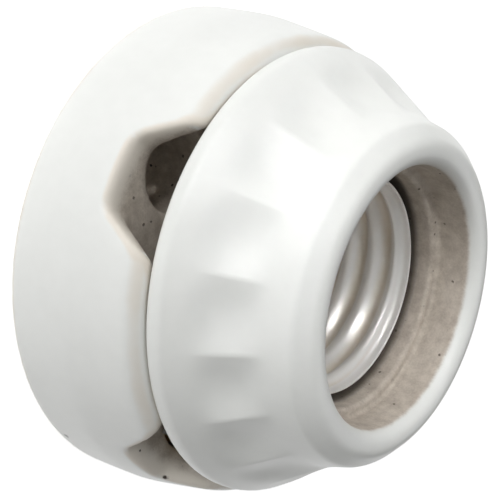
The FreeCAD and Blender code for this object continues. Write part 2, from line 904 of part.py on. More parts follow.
def group(label, items):
    """Several identical solids that share one node."""
    compound = DOC.addObject("Part::Compound", label)
    compound.Links = items
    return compound


def shell_screw_turns():
    return [shell_turn() + 120 * number for number in range(3)]


def round_shell(item, turn, z):
    """Place an item on the circle of the shell's screws."""
    radius = shell_screw_radius()
    return place(item, radius * cosine(turn), radius * sine(turn), z, turn)


def make_spring_washer(name):
    """A split ring washer."""
    ring = cut(
        f"{name}_ring",
        cylinder(f"{name}_disc", size("spring_washer_r"), size("spring_washer")),
        cylinder(f"{name}_hole", plain_hole(size("shell_screw_r")), size("spring_washer")),
    )
    gap = DOC.addObject("Part::Box", f"{name}_gap")
    bind(gap, "Length", size("spring_washer_r") * 2)
    bind(gap, "Width", size("slot") / 2)
    bind(gap, "Height", size("spring_washer"))
    return cut(name, ring, gap)


def make_shell_fasteners():
    """The three screws that hold the shell, with their spring washers and nuts."""
    screws, washers, nuts = [], [], []
    for number, turn in enumerate(shell_screw_turns(), start=1):
        screw = slotted_screw(
            f"shell_screw_{number}",
            size("shell_head_r"),
            size("shell_head"),
            size("shell_screw_r"),
            size("shell_screw_length"),
        )
        screws.append(round_shell(screw, turn, shell_head_z()))
        washers.append(round_shell(make_spring_washer(f"washer_{number}"), turn, washer_z()))
        nut = cut(
            f"nut_{number}",
            hexagonal(f"nut_{number}_blank", size("nut_flats"), size("nut_height"), 30),
            cylinder(f"nut_{number}_hole", tapped(size("shell_screw_r")), size("nut_height")),
        )
        nuts.append(round_shell(nut, turn, size("nut_seat_z") - size("nut_height")))
    group("shell_screws", screws)
    group("spring_washers", washers)
    group("shell_nuts", nuts)


def make_pillar_screws():
    """The two screws that come up from the back into the pillars."""
    screws = []
    radius = pocket_radius()
    for number, turn in enumerate((shell_turn(), contact_turn()), start=1):
        screw = slotted_screw(
            f"pillar_screw_{number}",
            size("terminal_head_r"),
            size("pillar_head"),
            size("terminal_r"),
            size("pillar_screw_length"),
        )
        upright = FreeCAD.Rotation(FreeCAD.Vector(1, 0, 0), 180)
        screw.Placement = FreeCAD.Placement(FreeCAD.Vector(), upright)
        bind(screw, "Placement.Base.x", radius * cosine(turn))
        bind(screw, "Placement.Base.y", radius * sine(turn))
        bind(screw, "Placement.Base.z", size("pillar_seat_z"))
        screws.append(screw)
    group("pillar_screws", screws)


def make_plugs():
    """Discs of sealing compound over every live screw end in the back."""
    plugs = []
    height = size("plug")
    for number, turn in enumerate(shell_screw_turns(), start=1):
        plug = cylinder(f"nut_plug_{number}", plug_r(), height)
        plugs.append(round_shell(plug, turn, size("back_relief")))
    radius = pocket_radius()
    for number, turn in enumerate((shell_turn(), contact_turn()), start=1):
        plug = cylinder(f"pillar_plug_{number}", plug_r(), height)
        place(plug, radius * cosine(turn), radius * sine(turn), size("back_relief"))
        plugs.append(plug)
    group("seal_plugs", plugs)


NODES = (
    "porcelain_base",
    "porcelain_ring",
    "screw_shell",
    "centre_contact",
    "shell_strip",
    "shell_terminal",
    "shell_clamp",
    "shell_clamp_screw",
    "contact_terminal",
    "contact_clamp",
    "contact_clamp_screw",
    "shell_screws",
    "spring_washers",
    "shell_nuts",
    "pillar_screws",
    "seal_plugs",
)


def check_document():
    """Stop if any object failed to compute, or any sub-part has no valid shape."""
    for item in DOC.Objects:
        if {"Invalid", "Error"} & set(item.State):
            raise RuntimeError(f"{item.Label} failed: {item.State}")
    for label in NODES:
        shape = DOC.getObjectsByLabel(label)[0].Shape
        if shape.isNull() or not shape.isValid():
            raise RuntimeError(f"{label} has no valid shape")


def export_parts():
    os.makedirs("parts", exist_ok=True)
    for label in NODES:
        DOC.getObjectsByLabel(label)[0].Shape.exportStep(f"parts/{label}.step")


def main():
    fill_sheet()
    make_base()
    make_ring()
    make_shell()
    add_dome(make_contact())
    make_shell_strip()
    make_terminal("shell", shell_turn())
    make_terminal("contact", contact_turn())
    make_shell_fasteners()
    make_pillar_screws()
    make_plugs()
    DOC.recompute()
    check_document()
    export_parts()
    for label in NODES:
        shape = DOC.getObjectsByLabel(label)[0].Shape
        print(f"{label}: {len(shape.Solids)} solids, {shape.Volume:.1f} mm3")


main()
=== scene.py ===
"""Looks of a porcelain screw lamp holder.

The base and the ring are glazed porcelain, and the screw shell is rolled and nickel-plated. The
strips, terminals and screws inside are bronze, brass and zinc-plated steel.
"""

import logging
from dataclasses import dataclass
from enum import Enum

import bpy
import numpy as np
from mathutils import Matrix


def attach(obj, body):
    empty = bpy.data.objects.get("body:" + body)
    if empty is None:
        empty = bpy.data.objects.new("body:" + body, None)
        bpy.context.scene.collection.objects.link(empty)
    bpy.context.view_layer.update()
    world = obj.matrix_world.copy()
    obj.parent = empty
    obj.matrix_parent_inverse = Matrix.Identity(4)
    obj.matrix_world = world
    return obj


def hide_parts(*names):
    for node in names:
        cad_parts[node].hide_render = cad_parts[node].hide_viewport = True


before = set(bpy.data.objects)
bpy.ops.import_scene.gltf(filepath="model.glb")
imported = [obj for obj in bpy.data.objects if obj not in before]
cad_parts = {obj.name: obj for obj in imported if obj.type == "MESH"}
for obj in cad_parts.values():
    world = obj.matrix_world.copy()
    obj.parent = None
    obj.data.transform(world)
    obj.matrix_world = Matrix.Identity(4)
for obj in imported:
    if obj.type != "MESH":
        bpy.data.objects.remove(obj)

LOG = logging.getLogger("lamp_holder")
MM = 0.001
TAU = 2 * np.pi
CLOSEST = 0.12  # share of an outline's spacing under which two of its points count as one
RAMP_SOCKETS = ("Value", "From Min", "From Max", "To Min", "To Max")

Colour = tuple[float, float, float]
Place = tuple[float, float, float]
Point = tuple[float, float]
Span = tuple[float, float]
Inputs = dict[str | int, object]
Socket = bpy.types.NodeSocket
Sockets = bpy.types.bpy_prop_collection


class Body(str, Enum):
    """The moving bodies that a new piece rides on."""

    HOLDER = "holder"
    RING = "ring"


class Slot(str, Enum):
    """The record's material slots, by name."""

    PORCELAIN = "porcelain"
    NICKEL = "nickel_plate"


class Mask(str, Enum):
    """Names of the values that a mesh carries from point to point for its finish."""

    GLAZE = "glaze"
    EDGE = "edge"
    # This mask marks painted shade: in the ring's gap round the shell and in the shell's thread
    # grooves.
    PAINTED_SHADE = "groove"


# Curves and surfaces


def smooth_step(low: float, high: float, value: np.ndarray) -> np.ndarray:
    """Rise from 0 at low to 1 at high.

    Formula: t is the share of the way, held to 0..1, and the result is t squared times (3 - 2 t).

    Args:
        low: value where the rise starts.
        high: value where the rise ends.
        value: the values to map.

    Returns:
        The mapped values, in the shape of value.
    """
    t = np.clip((value - low) / (high - low), 0.0, 1.0)
    return t * t * (3.0 - 2.0 * t)


def rounded_outline(corners: np.ndarray, spacing: float, arc_points: int = 7) -> np.ndarray:
    """Sample a closed outline whose corners are rounded by arcs.

    Formula: each arc touches its corner's sides at radius / tan(half the corner's angle) from it,
    and its centre lies on the bisector. Straight runs join the arcs. The outline has a point at
    every arc point and at every step of the spacing, less those too close to the one before.

    Args:
        corners: rows of radius, height and fillet radius, in order round the outline.
        spacing: longest step along the outline.
        arc_points: points on each arc.

    Returns:
        Rows of radius and height, without a repeated last point.
    """
    place, fillet = corners[:, :2], corners[:, 2:]
    back = np.roll(place, 1, axis=0) - place
    ahead = np.roll(place, -1, axis=0) - place
    back /= np.linalg.norm(back, axis=1, keepdims=True)
    ahead /= np.linalg.norm(ahead, axis=1, keepdims=True)
    half = np.arccos(np.clip((back * ahead).sum(1, keepdims=True), -1, 1)) / 2
    reach = fillet / np.tan(half)
    bisector = (back + ahead) / np.linalg.norm(back + ahead, axis=1, keepdims=True)
    centre = place + bisector * fillet / np.sin(half)
    first, last = place + back * reach - centre, place + ahead * reach - centre
    share = np.linspace(0, 1, arc_points)[None, :, None]
    sweep = np.pi - 2 * half[:, None, :]
    leaving = np.sin((1 - share) * sweep) * first[:, None, :]
    arcs = leaving + np.sin(share * sweep) * last[:, None, :]
    points = (arcs / np.sin(sweep) + centre[:, None, :]).reshape(-1, 2)
    loop = np.vstack([points, points[:1]])
    along = np.concatenate([[0.0], np.cumsum(np.linalg.norm(np.diff(loop, axis=0), axis=1))])
    steps = np.arange(0.0, along[-1], spacing)
    knots = np.unique(np.round(np.concatenate([along, steps]), 6))
    knots = knots[np.concatenate([[True], np.diff(knots) > spacing * CLOSEST])]
    knots = knots[knots < along[-1] - spacing * CLOSEST]
    return np.stack([np.interp(knots, along, column) for column in loop.T], axis=1)


def outline_normals(outline: np.ndarray) -> np.ndarray:
    """Outward normals of a closed outline that runs anticlockwise in radius and height.

    Formula: the step from the point before to the point after, turned clockwise by a quarter.

    Args:
        outline: rows of radius and height.

    Returns:
        A row of length 1 for each point.
    """
    tangent = np.roll(outline, -1, axis=0) - np.roll(outline, 1, axis=0)
    normal = np.stack([tangent[:, 1], -tangent[:, 0]], axis=1)
    return normal / np.linalg.norm(normal, axis=1, keepdims=True)


def turned_grid(angle: np.ndarray, radius: np.ndarray, height: np.ndarray) -> np.ndarray:
    """Points of a turned surface: x = radius cos angle, y = radius sin angle, z = height.

    Args:
        angle: one angle for each column, in radians.
        radius: radii, a row for each angle.
        height: heights, a row for each angle.

    Returns:
        An array of angles x outline points x 3.
    """
    around = angle[:, None]
    return np.stack([radius * np.cos(around), radius * np.sin(around), height], axis=2)


def ring_mesh(name: str, grid: np.ndarray, masks: dict[Mask, np.ndarray]) -> bpy.types.Mesh:
    """Make a closed mesh from a grid that wraps both round the axis and round its outline.

    Formula: point (i, j) joins (i + 1, j), (i + 1, j + 1) and (i, j + 1), and both numbers wrap.

    Args:
        name: the mesh's name.
        grid: columns x outline points x 3, in millimetres.
        masks: values from 0 to 1 at each grid point.

    Returns:
        The mesh, in metres, with a UV map that runs round the axis and along the outline.
    """
    columns, rows = grid.shape[:2]
    i, j = np.meshgrid(np.arange(columns), np.arange(rows), indexing="ij")
    ahead, up = (i + 1) % columns, (j + 1) % rows
    quads = np.stack([i * rows + j, ahead * rows + j, ahead * rows + up, i * rows + up], axis=2)
    u = np.stack([i, i + 1, i + 1, i], axis=2) / columns
    v = np.stack([j, j, j + 1, j + 1], axis=2) / rows
    mesh = mesh_from(name, grid.reshape(-1, 3), quads.reshape(-1, 4))
    mesh.uv_layers.new(name="Round").uv.foreach_set("vector", np.stack([u, v], axis=3).ravel())
    write_masks(mesh, masks)
    return mesh


def mesh_from(name: str, points: np.ndarray, faces: np.ndarray) -> bpy.types.Mesh:
    """Make a smooth mesh.

    Args:
        name: the mesh's name.
        points: rows of x, y and z, in millimetres.
        faces: a row of point numbers for each face, all of one length.

    Returns:
        The mesh, in metres.
    """
    mesh = bpy.data.meshes.new(name)
    mesh.vertices.add(len(points))
    mesh.vertices.foreach_set("co", (points * MM).astype(np.float32).ravel())
    size = faces.shape[1]
    mesh.loops.add(faces.size)
    mesh.loops.foreach_set("vertex_index", faces.astype(np.int32).ravel())
    mesh.polygons.add(len(faces))
    mesh.polygons.foreach_set("loop_start", np.arange(0, faces.size, size, dtype=np.int32))
    mesh.polygons.foreach_set("use_smooth", np.ones(len(faces), dtype=bool))
    mesh.update(calc_edges=True)
    mesh.validate()
    return mesh


def write_masks(mesh: bpy.types.Mesh, masks: dict[Mask, np.ndarray]) -> None:
    """Store masks on a mesh's points.

    Args:
        mesh: the mesh.
        masks: values from 0 to 1 at each point.
    """
    for mask, values in masks.items():
        layer = mesh.attributes.new(mask.value, "FLOAT", "POINT")
        layer.data.foreach_set("value", values.astype(np.float32).ravel())


def add_object(name: str, data: bpy.types.ID) -> bpy.types.Object:
    """Put data in the scene as an object at the origin.

    Args:
        name: the object's name.
        data: its mesh, lamp or camera.

    Returns:
        The object.
    """
    made = bpy.data.objects.new(name, data)
    bpy.context.scene.collection.objects.link(made)
    return made


def show(
    mesh: bpy.types.Mesh, body: Body, material: bpy.types.Material
) -> bpy.types.Object:
    """Put a mesh in the scene as a piece.

    Args:
        mesh: the piece's mesh.
        body: the body that it rides on.
        material: its finish.

    Returns:
        The piece's object.
    """
    piece = add_object(mesh.name, mesh)
    mesh.materials.append(material)
    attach(piece, body.value)
    LOG.info("%s: %d points, rides on %s", piece.name, len(mesh.vertices), body.value)
    return piece


def dress(node: str, material: bpy.types.Material) -> None:
    """Give a CAD node its finish.

    Args:
        node: the node's name.
        material: the finish, for all the slots of the node's mesh.
    """
    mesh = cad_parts[node].data
    if not mesh.materials:
        mesh.materials.append(material)
    for number in range(len(mesh.materials)):
        mesh.materials[number] = material
    LOG.info("%s: dressed in %s", node, material.name)


# Shaders


@dataclass
class Graph:
    """A node tree with short ways to add and join its nodes."""

    tree: bpy.types.NodeTree

    def add(self, kind: str, inputs: Inputs | None = None, **settings: object) -> bpy.types.Node:
        """Add a node.

        Args:
            kind: the node's type, without the ShaderNode at its start.
            inputs: a socket to join or a value to set, by the input's name or number.
            settings: the node's own properties.

        Returns:
            The node.
        """
        node = self.tree.nodes.new(kind if kind.startswith("Node") else f"ShaderNode{kind}")
        for key, value in settings.items():
            setattr(node, key, value)
        for key, value in (inputs or {}).items():
            if isinstance(value, bpy.types.NodeSocket):
                self.tree.links.new(value, node.inputs[key])
            else:
                node.inputs[key].default_value = value
        return node

    def maths(self, operation: str, *values: object, clamp: bool = False) -> Socket:
        """Result of a Math node on these values or sockets."""
        settings = {"operation": operation, "use_clamp": clamp}
        return self.add("Math", dict(enumerate(values)), **settings).outputs[0]

    def blend(self, share: object, first: object, second: object) -> Socket:
        """Mix two colours by a share from 0 to 1."""
        return self.add("Mix", {0: share, 6: first, 7: second}, data_type="RGBA").outputs[2]

    def between(self, share: object, first: object, second: object) -> Socket:
        """Mix two numbers by a share from 0 to 1."""
        return self.add("Mix", {0: share, 2: first, 3: second}, data_type="FLOAT").outputs[0]

    def ramp(self, value: Socket, span: Span, onto: Span = (0.0, 1.0)) -> Socket:
        """Map a value smoothly from one span onto another."""
        sockets = dict(zip(RAMP_SOCKETS, (value, *span, *onto)))
        return self.add("MapRange", sockets, interpolation_type="SMOOTHSTEP").outputs["Result"]

    def noise(self, place: Socket, scale: object, detail: float) -> Socket:
        """Smooth noise, about a half at its middle."""
        inputs = {"Vector": place, "Scale": scale, "Detail": detail}
        return self.add("TexNoise", inputs).outputs["Fac"]

    def mask(self, mask: Mask) -> Socket:
        """The value that the mesh carries for a mask."""
        return self.add("Attribute", attribute_name=mask.value).outputs["Fac"]

    def group(self, kind: bpy.types.NodeTree, inputs: Inputs) -> Socket:
        """Place a shared effect with its own values."""
        return self.add("Group", inputs, node_tree=kind).outputs[0]


class SharedEffect:
    """A shader group with named inputs and outputs, made once and kept for the next material."""

    name = ""
    inputs: dict[str, float | None] = {}
    output = "Mask"

    @classmethod
    def tree(cls) -> bpy.types.NodeTree:
        """Build the group at its first use.

        Returns:
            The group's node tree.
        """
        known = bpy.data.node_groups.get(cls.name)
        if known:
            return known
        tree = bpy.data.node_groups.new(cls.name, "ShaderNodeTree")
        for name, value in cls.inputs.items():
            kind = "NodeSocketVector" if value is None else "NodeSocketFloat"
            socket = tree.interface.new_socket(name=name, in_out="INPUT", socket_type=kind)
            if value is not None:
                socket.default_value = value
        tree.interface.new_socket(name=cls.output, in_out="OUTPUT", socket_type="NodeSocketFloat")
        graph = Graph(tree)
        source = graph.add("NodeGroupInput").outputs
        graph.add("NodeGroupOutput", {cls.output: cls.wire(graph, source)})
        return tree

    @classmethod
    def wire(cls, graph: Graph, source: Sockets) -> Socket:
        """Build the effect from the group's inputs, up to the socket that feeds its output."""
        raise NotImplementedError


class Mottle(SharedEffect):
    """Soft uneven cloudiness at two scales, centred on a half."""

    name = "Mottle"
    inputs = {"Vector": None, "Patch Size": 0.01, "Contrast": 0.5}
    output = "Value"
    finer = 5.3
    fine_share = 0.5
    mean = 0.75

    @classmethod
    def wire(cls, graph: Graph, source: Sockets) -> Socket:
        """Make the cloudiness.

        Formula: (coarse noise + a share of fine) less their mean, times the contrast, plus a half.

        Args:
            graph: the group's graph.
            source: the group's inputs.

        Returns:
            The socket with values from 0 to 1.
        """
        scale = graph.maths("DIVIDE", 1.0, source["Patch Size"])
        coarse = graph.noise(source["Vector"], scale, 3.0)
        fine = graph.noise(source["Vector"], graph.maths("MULTIPLY", scale, cls.finer), 2.0)
        total = graph.maths("MULTIPLY_ADD", fine, cls.fine_share, coarse)
        away = graph.maths("SUBTRACT", total, cls.mean)
        return graph.maths("MULTIPLY_ADD", away, source["Contrast"], 0.5, clamp=True)


class Specks(SharedEffect):
    """Scattered dark specks, such as iron spots in clay."""

    name = "Specks"
    inputs = {"Vector": None, "Cell": 0.004, "Share": 0.2, "Radius": 0.00015}
    ragged_scale = 4200.0
    ragged = (1.1, 0.45)
    sizes = (0.9, 0.45)
    fade = 0.45

    @classmethod
    def wire(cls, graph: Graph, source: Sockets) -> Socket:
        """Scatter the specks.

        Formula: inside the radius from a cell's point, in the share of cells whose random value is
        low. Each speck has a size of its own and a ragged edge.

        Args:
            graph: the group's graph.
            source: the group's inputs.

        Returns:
            The socket that is 1 in a speck.
        """
        scale = graph.maths("DIVIDE", 1.0, source["Cell"])
        ragged = graph.noise(source["Vector"], cls.ragged_scale, 1.0)
        cells = graph.add("TexVoronoi", {"Vector": source["Vector"], "Scale": scale}).outputs
        away = graph.maths("MULTIPLY", cells["Distance"], source["Cell"])
        draws = graph.add("SeparateColor", {"Color": cells["Color"]}).outputs
        chosen = graph.maths("LESS_THAN", draws[0], source["Share"])
        own = graph.maths("MULTIPLY_ADD", draws[1], *cls.sizes)
        reach = graph.maths("MULTIPLY", source["Radius"], own)
        wobble = graph.maths("MULTIPLY_ADD", ragged, *cls.ragged)
        inner = graph.maths("SUBTRACT", graph.maths("MULTIPLY", reach, wobble), away)
        fade = graph.maths("MULTIPLY", source["Radius"], cls.fade)
        return graph.maths("MULTIPLY", graph.maths("DIVIDE", inner, fade, clamp=True), chosen)


class Spot(SharedEffect):
    """One speck at a given place."""

    name = "Spot"
    inputs = {"Vector": None, "Place": None, "Radius": 0.0003}
    ragged_scale = 3300.0
    ragged = (1.4, 0.3)
    fade = 0.5

    @classmethod
    def wire(cls, graph: Graph, source: Sockets) -> Socket:
        """Make the speck.

        Formula: 1 well inside the radius from the place, falling to 0 at it, with a ragged edge.

        Args:
            graph: the group's graph.
            source: the group's inputs.

        Returns:
            The socket that is 1 in the speck.
        """
        ragged = graph.noise(source["Vector"], cls.ragged_scale, 1.0)
        ends = {0: source["Vector"], 1: source["Place"]}
        away = graph.add("VectorMath", ends, operation="DISTANCE").outputs["Value"]
        wobble = graph.maths("MULTIPLY_ADD", ragged, *cls.ragged)
        inner = graph.maths("SUBTRACT", graph.maths("MULTIPLY", source["Radius"], wobble), away)
        fade = graph.maths("MULTIPLY", source["Radius"], cls.fade)
        return graph.maths("DIVIDE", inner, fade, clamp=True)


class ThinGlaze(SharedEffect):
    """Where glaze has run thin off an edge and shows the clay."""

    name = "Thin Glaze"
    inputs = {"Vector": None, "Edge": 0.0, "Strength": 0.7}
    broad_scale = 160.0
    shift = (0.9, -0.45)
    eased = (0.1, 0.9)
    gate = (0.02, 0.3)

    @classmethod
    def wire(cls, graph: Graph, source: Sockets) -> Socket:
        """Thin the glaze.

        Formula: the edge value shifted by broad noise and eased, times the strength, and nothing
        where the edge value itself is nearly nothing.

        Args:
            graph: the group's graph.
            source: the group's inputs.

        Returns:
            The socket that is 1 where the glaze is thinnest.
        """
        broad = graph.noise(source["Vector"], cls.broad_scale, 3.0)
        shift = graph.maths("MULTIPLY_ADD", broad, *cls.shift)
        worn = graph.ramp(graph.maths("ADD", source["Edge"], shift), cls.eased)
        gate = graph.ramp(source["Edge"], cls.gate)
        return graph.maths("MULTIPLY", graph.maths("MULTIPLY", worn, gate), source["Strength"])


class DrawnStreaks(SharedEffect):
    """Fine lines round the axis, as rolling and drawing leave on sheet metal."""

    name = "Drawn Streaks"
    inputs = {"Vector": None, "Fineness": 2200.0, "Length": 0.04}
    output = "Height"

    @classmethod
    def wire(cls, graph: Graph, source: Sockets) -> Socket:
        """Draw the lines.

        Formula: noise on (x and y scaled by the length, z), so it changes fast along the axis only.

        Args:
            graph: the group's graph.
            source: the group's inputs.

        Returns:
            The socket with the lines' height.
        """
        parts = graph.add("SeparateXYZ", {0: source["Vector"]}).outputs
        flat = {
            number: graph.maths("MULTIPLY", parts[number], source["Length"]) for number in (0, 1)
        }
        stretched = graph.add("CombineXYZ", {**flat, 2: parts[2]}).outputs[0]
        return graph.noise(stretched, source["Fineness"], 4.0)


def object_place(graph: Graph) -> Socket:
    """Object coordinates, in metres, the same for every piece because all sit at the origin."""
    return graph.add("TexCoord").outputs["Object"]


def new_material(name: str) -> tuple[bpy.types.Material, Graph]:
    """Make an empty node material.

    Args:
        name: the material's name.

    Returns:
        The material and its graph.
    """
    material = bpy.data.materials.new(name)
    material.use_nodes = True
    material.node_tree.nodes.clear()
    return material, Graph(material.node_tree)


def finish_with(graph: Graph, inputs: Inputs) -> None:
    """End a material's graph in a Principled BSDF with these inputs."""
    shader = graph.add("BsdfPrincipled", inputs)
    graph.add("OutputMaterial", {"Surface": shader.outputs[0]})


def rgba(colour: Colour) -> tuple[float, float, float, float]:
    """The colour with full opacity."""
    return (*colour, 1.0)


@dataclass(frozen=True)
class Porcelain:
    """White glaze over a warm clay body, thin on the edges and missing where the mesh says so."""

    name: str
    glaze: Colour = (0.87, 0.88, 0.855)
    shade: Colour = (0.81, 0.82, 0.795)
    thin: Colour = (0.78, 0.715, 0.62)
    clay: Colour = (0.62, 0.56, 0.485)
    clay_dark: Colour = (0.44, 0.385, 0.325)
    iron: Colour = (0.06, 0.045, 0.035)
    gloss: float = 0.34
    uneven_gloss: float = 0.1
    thinness: float = 0.75
    thin_rough: float = 0.25
    clay_rough: float = 0.72
    clay_specks: float = 0.8
    glaze_specks: float = 0.7
    # Strength of the painted shade, towards the iron colour, where the mesh marks it.
    painted_shade: float = 0.85
    ragged: float = 0.16
    border: Span = (0.1, 0.9)
    ripple: float = 0.35
    spots: tuple[tuple[float, float, float, float], ...] = ()

    def material(self) -> bpy.types.Material:
        """Build the glaze's material, which reads the masks of its mesh.

        Returns:
            The material.
        """
        material, graph = new_material(self.name)
        place = object_place(graph)
        cloud = graph.group(Mottle.tree(), {"Vector": place, "Patch Size": 0.009, "Contrast": 1.1})
        grit = graph.group(Mottle.tree(), {"Vector": place, "Patch Size": 0.0014, "Contrast": 2.2})
        edge = {"Vector": place, "Edge": graph.mask(Mask.EDGE), "Strength": self.thinness}
        worn = graph.group(ThinGlaze.tree(), edge)
        shift = graph.maths("SUBTRACT", grit, 0.5)
        ragged = graph.maths("MULTIPLY_ADD", shift, self.ragged, graph.mask(Mask.GLAZE))
        cover = graph.ramp(ragged, self.border)
        white = graph.blend(cloud, rgba(self.shade), rgba(self.glaze))
        white = graph.blend(worn, white, rgba(self.thin))
        colour = graph.blend(cover, self.bare_clay(graph, place, grit), white)
        colour = graph.blend(self.marks(graph, place, cover), colour, rgba(self.iron))
        # Painted shade: darker towards the iron colour where the mesh marks it.
        painted_shade = graph.maths("MULTIPLY", graph.mask(Mask.PAINTED_SHADE), self.painted_shade)
        colour = graph.blend(painted_shade, colour, rgba(self.iron))
        even = self.gloss - self.uneven_gloss / 2
        glazed = graph.maths("MULTIPLY_ADD", cloud, self.uneven_gloss, even)
        glazed = graph.maths("ADD", glazed, graph.maths("MULTIPLY", worn, self.thin_rough))
        relief = graph.maths("MULTIPLY", grit, graph.maths("SUBTRACT", 1.0, cover))
        height = graph.maths("ADD", relief, graph.maths("MULTIPLY", cloud, self.ripple))
        bump = graph.add("Bump", {"Height": height, "Strength": 0.35, "Distance": 0.00012})
        finish_with(
            graph,
            {
                "Base Color": colour,
                "Roughness": graph.between(cover, self.clay_rough, glazed),
                "Normal": bump.outputs[0],
                "IOR": 1.5,
                "Specular IOR Level": 0.5,
            },
        )
        return material

    def bare_clay(self, graph: Graph, place: Socket, grit: Socket) -> Socket:
        """Colour of the clay: two tones of grit under small iron specks.

        Args:
            graph: the material's graph.
            place: where on the object, in metres.
            grit: the grit's value.

        Returns:
            The colour's socket.
        """
        specks = {"Vector": place, "Cell": 0.0013, "Share": 0.55, "Radius": 0.00019}
        iron = graph.maths("MULTIPLY", graph.group(Specks.tree(), specks), self.clay_specks)
        bare = graph.blend(grit, rgba(self.clay_dark), rgba(self.clay))
        return graph.blend(iron, bare, rgba(self.iron))

    def marks(self, graph: Graph, place: Socket, cover: Socket) -> Socket:
        """Iron marks in the glaze: a few scattered specks, and a spot at each of the given places.

        Args:
            graph: the material's graph.
            place: where on the object, in metres.
            cover: 1 where there is glaze.

        Returns:
            The socket that is 1 in a mark.
        """
        specks = {"Vector": place, "Cell": 0.006, "Share": 0.05, "Radius": 0.00016}
        strength = graph.maths("MULTIPLY", cover, self.glaze_specks)
        marks = graph.maths("MULTIPLY", graph.group(Specks.tree(), specks), strength)
        for *spot, radius in self.spots:
            own = {"Vector": place, "Place": spot, "Radius": radius}
            marks = graph.maths("MAXIMUM", marks, graph.group(Spot.tree(), own))
        return marks


@dataclass(frozen=True)
class SheetMetal:
    """Plated or bare metal with drawing lines, a cloudy film and painted shade in its hollows."""

    name: str
    bright: Colour
    film: Colour
    # Colour of the painted shade in the hollows that a mesh marks.
    hollow: Colour
    gloss: float = 0.24
    uneven_gloss: float = 0.12
    cloudiness: float = 0.35
    streak: float = 0.25
    streak_rough: float = 0.08
    hollow_rough: float = 0.12
    # Least strength of that painted shade, where the cloud is lowest.
    least_painted_shade: float = 0.5
    metallic: float = 1.0

    def material(self) -> bpy.types.Material:
        """Build the metal's material. A mesh with a groove mask gets painted shade there.

        Returns:
            The material.
        """
        material, graph = new_material(self.name)
        place = object_place(graph)
        groove = graph.mask(Mask.PAINTED_SHADE)
        streaks = graph.group(DrawnStreaks.tree(), {"Vector": place})
        cloud = graph.group(Mottle.tree(), {"Vector": place, "Patch Size": 0.004, "Contrast": 1.4})
        film = graph.maths("MULTIPLY", cloud, self.cloudiness)
        colour = graph.blend(film, rgba(self.bright), rgba(self.film))
        # Painted shade in the hollows that the mesh marks, uneven with the cloud.
        painted_shade = graph.maths("MULTIPLY_ADD", cloud, 1 - self.least_painted_shade, self.least_painted_shade)
        colour = graph.blend(graph.maths("MULTIPLY", groove, painted_shade), colour, rgba(self.hollow))
        even = self.gloss - self.uneven_gloss / 2
        rough = graph.maths("MULTIPLY_ADD", cloud, self.uneven_gloss, even)
        rough = graph.maths("MULTIPLY_ADD", streaks, self.streak_rough, rough)
        rough = graph.maths("MULTIPLY_ADD", groove, self.hollow_rough, rough)
        lines = {"Height": streaks, "Strength": self.streak, "Distance": 0.00002}
        finish_with(
            graph,
            {
                "Base Color": colour,
                "Metallic": self.metallic,
                "Roughness": rough,
                "Normal": graph.add("Bump", lines).outputs[0],
            },
        )
        return material


@dataclass(frozen=True)
class Compound:
    """Dull poured sealing compound with pits and dust."""

    name: str = "Sealing compound"
    body: Colour = (0.075, 0.062, 0.052)
    dust: Colour = (0.23, 0.20, 0.17)
    dusty: Span = (0.45, 0.9)
    swell: float = 0.6
    cloudy: Span = (0.2, 0.9)
    rough: Span = (0.45, 0.75)

    def material(self) -> bpy.types.Material:
        """Build the compound's material.

        Returns:
            The material.
        """
        material, graph = new_material(self.name)
        place = object_place(graph)
        cloud = graph.group(Mottle.tree(), {"Vector": place, "Patch Size": 0.0025, "Contrast": 1.6})
        specks = {"Vector": place, "Cell": 0.0012, "Share": 0.3, "Radius": 0.0002}
        pits = graph.group(Specks.tree(), specks)
        colour = graph.blend(graph.ramp(cloud, self.dusty), rgba(self.body), rgba(self.dust))
        height = graph.maths("SUBTRACT", graph.maths("MULTIPLY", cloud, self.swell), pits)
        bump = graph.add("Bump", {"Height": height, "Strength": 0.5, "Distance": 0.0001})
        rough = graph.ramp(cloud, self.cloudy, self.rough)
        finish_with(graph, {"Base Color": colour, "Roughness": rough, "Normal": bump.outputs[0]})
        return material


# Sub-assemblies


